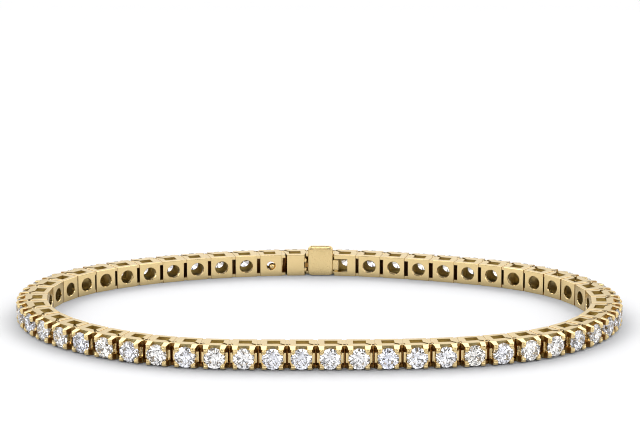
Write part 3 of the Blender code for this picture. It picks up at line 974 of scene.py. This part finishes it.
def pillow(low, high, corner, radius, crown, steps):
    """A plate with round corners and rounder edges, whose inner face swells towards the wearer."""
    low, high = Vector(low), Vector(high)
    middle, half = (low + high) / 2, (high - low) / 2

    def fill(shape):
        bmesh.ops.create_cube(shape, size=2.0)
        bmesh.ops.subdivide_edges(shape, edges=shape.edges, cuts=steps, use_grid_fill=True)
        for point in shape.verts:
            spot = Vector(point.co[axis] * half[axis] for axis in range(3))
            kept = Vector(max(corner - half[axis], min(half[axis] - corner, spot[axis]))
                          for axis in range(3))
            kept.y = max(radius - half.y, min(half.y - radius, spot.y))
            turned = Vector((spot.x - kept.x, 0, spot.z - kept.z))
            if turned.length > corner - radius:
                turned = turned.normalized() * (corner - radius)
            kept += turned
            away = spot - kept
            if away.length > 0:
                spot = kept + away.normalized() * radius
            share = (1 - (spot.x / half.x) ** 2) * (1 - (spot.z / half.z) ** 2)
            spot.y += crown * (1 - share) * max(0.0, -spot.y / half.y)
            point.co = middle + spot
    return mesh_from(fill)


def nowhere(place, normal):
    """False: no face of this piece gets painted shade."""
    return False


def cover():
    """The cover with its knuckle between the lugs and its nose on the free edge."""
    half = COVER_WIDTH / 2
    floor = COVER_FLOOR_GAP - MIDDLE
    plate = pillow((-half, -COVER_FACE_DEPTH, floor),
                   (half, COVER_THICKNESS - COVER_FACE_DEPTH, floor + COVER_HEIGHT),
                   COVER_CORNER, COVER_RADIUS, COVER_CROWN, COVER_STEPS)
    reach = (LUG_SPACING - LUG_HEIGHT) / 2 - CLASP_GAP
    knuckle = upright(COVER_AXIS, COVER_KNUCKLE_RADIUS, -reach, reach, edge=KNUCKLE_EDGE)
    neck = block((COVER_AXIS.x, COVER_AXIS.y - LUG_NECK / 2, -reach),
                 (NOSE_ROOT - half, COVER_AXIS.y + LUG_NECK / 2, reach))
    nose = block((half - NOSE_ROOT, -NOSE_FACE_DEPTH, -NOSE_HEIGHT / 2),
                 (half + NOSE_LENGTH, NOSE_THICKNESS - NOSE_FACE_DEPTH, NOSE_HEIGHT / 2), EDGE)
    bore = upright(COVER_AXIS, PIN_RADIUS + PIN_GAP, -FAR, FAR, FINE_SIDES)
    # Faces on the cover's knuckle side, beyond its plate, get the brown painted shade of the gaps between
    # links.
    return dressed(cut(soldered(plate, neck, knuckle, nose), bore),
                   lambda place, normal: place.x < -half - SKIN, nowhere)


def cover_pin():
    """The hinge pin with slightly domed ends."""
    reach = (LUG_SPACING + LUG_HEIGHT) / 2 + PIN_OVERHANG
    pin = upright(COVER_AXIS, PIN_RADIUS, -reach, reach, FINE_SIDES, edge=PIN_EDGE)
    return dressed(pin, nowhere, nowhere)


finished("cover", on_links([BOX_LINK], cover(), satin_gold), "cover", "yellow_gold", "clasp_cover")
finished("cover_pin", on_links([BOX_LINK], cover_pin(), polished_gold), "chain", "yellow_gold", "clasp_pin")

# %% [markdown]
# ## Floor, light and camera
#
# The bracelet is photographed on white, with a soft light all round and a tight contact shadow. A white
# floor and a bright sky do most of this. Behind the bracelet the sky is a plain white low down, a little
# darker aside, and more than twice as bright from some 30 degrees up, which the upper rails mirror. Round
# the zenith it is dark, which keeps level metal golden. On the camera's side it is a row of lit strips
# with dark between them, the contrast that brilliants look for. The camera's place and lens were fitted
# to the photo together with the oval.

# %% Floor
# White paper, matt, so that it takes the contact shadow and mirrors next to nothing.
floor_material = bpy.data.materials.new("white_studio_floor")
floor_material.use_nodes = True
floor_shader = floor_material.node_tree.nodes["Principled BSDF"]
floor_shader.inputs["Base Color"].default_value = linear("#F0F0F1")
floor_shader.inputs["Roughness"].default_value = 0.9
floor_shader.inputs["Specular IOR Level"].default_value = 0.1
FLOOR_HALF = 3.0
floor_mesh = mesh_from(lambda shape: bmesh.ops.create_grid(
    shape, x_segments=1, y_segments=1, size=FLOOR_HALF))
floor_mesh.materials.append(floor_material)
floor = bpy.data.objects.new("floor", floor_mesh)
bpy.context.scene.collection.objects.link(floor)
print("a floor of", 2 * FLOOR_HALF, "m each way")

# %% Sky
SKY_LOW = 1.04
SKY_ASIDE = 0.82
SKY_BAND = 2.2
SKY_ZENITH = 0.3
STRIP_BRIGHT = 1.62
STRIP_DARK = 0.06
STRIPS_ROUND = 14.0
STRIP_EDGES = (0.1, 0.5)
ASIDE_EDGES = (0.05, 0.13)
BAND_EDGES = (0.36, 0.52)
BEHIND_EDGES = (-0.3, 0.1)
ZENITH_EDGES = (0.84, 0.9)


def eased(tree, value, start, end, first, last):
    """A value that runs smoothly from first to last while the input runs from start to end."""
    return add_node(tree, "ShaderNodeMapRange", {
        "Value": value, "From Min": start, "From Max": end, "To Min": first, "To Max": last},
        interpolation_type="SMOOTHSTEP").outputs["Result"]


def sky():
    """Soft light from all round, and in front a row of tall lit strips with dark between them."""
    world = bpy.data.worlds.new("studio")
    bpy.context.scene.world = world
    world.use_nodes = True
    tree = world.node_tree
    direction = add_node(tree, "ShaderNodeTexCoord").outputs["Generated"]
    parts = add_node(tree, "ShaderNodeSeparateXYZ", {"Vector": direction}).outputs
    turn = add_node(tree, "ShaderNodeMath", {0: parts["X"], 1: parts["Y"]}, operation="ARCTAN2")
    waves = add_node(tree, "ShaderNodeMath", {0: turn.outputs[0], 1: STRIPS_ROUND}, operation="MULTIPLY")
    strip = add_node(tree, "ShaderNodeMath", {0: waves.outputs[0]}, operation="SINE")
    strips = eased(tree, strip.outputs[0], *STRIP_EDGES, STRIP_DARK, STRIP_BRIGHT)
    aside = add_node(tree, "ShaderNodeMath", {0: parts["X"]}, operation="ABSOLUTE")
    low = eased(tree, aside.outputs[0], *ASIDE_EDGES, SKY_LOW, SKY_ASIDE)
    band = eased(tree, parts["Z"], *BAND_EDGES, low, SKY_BAND)
    behind = eased(tree, parts["Y"], *BEHIND_EDGES, 0.0, 1.0)
    sides = add_node(tree, "ShaderNodeMix", {"Factor": behind, "A": strips, "B": band}, data_type="FLOAT")
    zenith = eased(tree, parts["Z"], *ZENITH_EDGES, 0.0, 1.0)
    strength = add_node(tree, "ShaderNodeMix", {
        "Factor": zenith, "A": sides.outputs["Result"], "B": SKY_ZENITH}, data_type="FLOAT")
    tree.links.new(strength.outputs["Result"], tree.nodes["Background"].inputs["Strength"])
    tree.nodes["Background"].inputs["Color"].default_value = linear("#FFFFFF")


sky()
print("the sky is brightest from", round(math.degrees(math.asin(BAND_EDGES[1]))), "degrees up")


# %% Soft boxes
ORIGIN = (0, 0, 0)


def soft_box(name, place, target, width, height, power, colour):
    """A rectangular studio light that faces a point."""
    data = bpy.data.lights.new(name, "AREA")
    data.shape = "RECTANGLE"
    data.size, data.size_y = width, height
    data.energy = power
    data.color = linear(colour)[:3]
    light = bpy.data.objects.new(name, data)
    light.location = place
    light.rotation_euler = (Vector(target) - Vector(place)).to_track_quat("-Z", "Y").to_euler()
    bpy.context.scene.collection.objects.link(light)
    print(name, power, "W")


soft_box("box_left", (-0.45, -0.35, 0.25), ORIGIN, width=0.12, height=0.4, power=0.5, colour="#FFFFFF")
soft_box("box_right", (0.5, -0.3, 0.2), ORIGIN, width=0.12, height=0.4, power=0.45, colour="#F4F6FF")
soft_box("box_front", (0.0, -0.6, 0.45), ORIGIN, width=0.35, height=0.12, power=0.5, colour="#FFFFFF")

# %% Camera
CAMERA_DISTANCE = 0.3485
CAMERA_ELEVATION = math.radians(16.4)
CAMERA_PITCH = math.radians(14.524)
CAMERA_ASIDE = 0.00014
CAMERA_LENS = 164.17
CAMERA_NEAR = 0.01
camera_data = bpy.data.cameras.new("camera")
camera_data.lens = CAMERA_LENS
camera_data.clip_start = CAMERA_NEAR
camera = bpy.data.objects.new("camera", camera_data)
camera.location = (CAMERA_ASIDE, -CAMERA_DISTANCE * math.cos(CAMERA_ELEVATION),
                   CAMERA_DISTANCE * math.sin(CAMERA_ELEVATION))
camera.rotation_euler = (math.pi / 2 - CAMERA_PITCH, 0, 0)
bpy.context.scene.collection.objects.link(camera)
bpy.context.scene.camera = camera
print("camera at", camera.location.to_tuple(3), "with a lens of", CAMERA_LENS, "mm")

# %% Picture settings
scene = bpy.context.scene
scene.view_settings.view_transform = "Standard"
scene.cycles.max_bounces = 24
scene.cycles.glossy_bounces = 12
scene.cycles.transmission_bounces = 20
scene.cycles.caustics_reflective = False
scene.cycles.caustics_refractive = False
scene.cycles.sample_clamp_indirect = 6.0
scene.cycles.use_denoising = True
scene.cycles.filter_width = 1.0
print("view transform", scene.view_settings.view_transform)
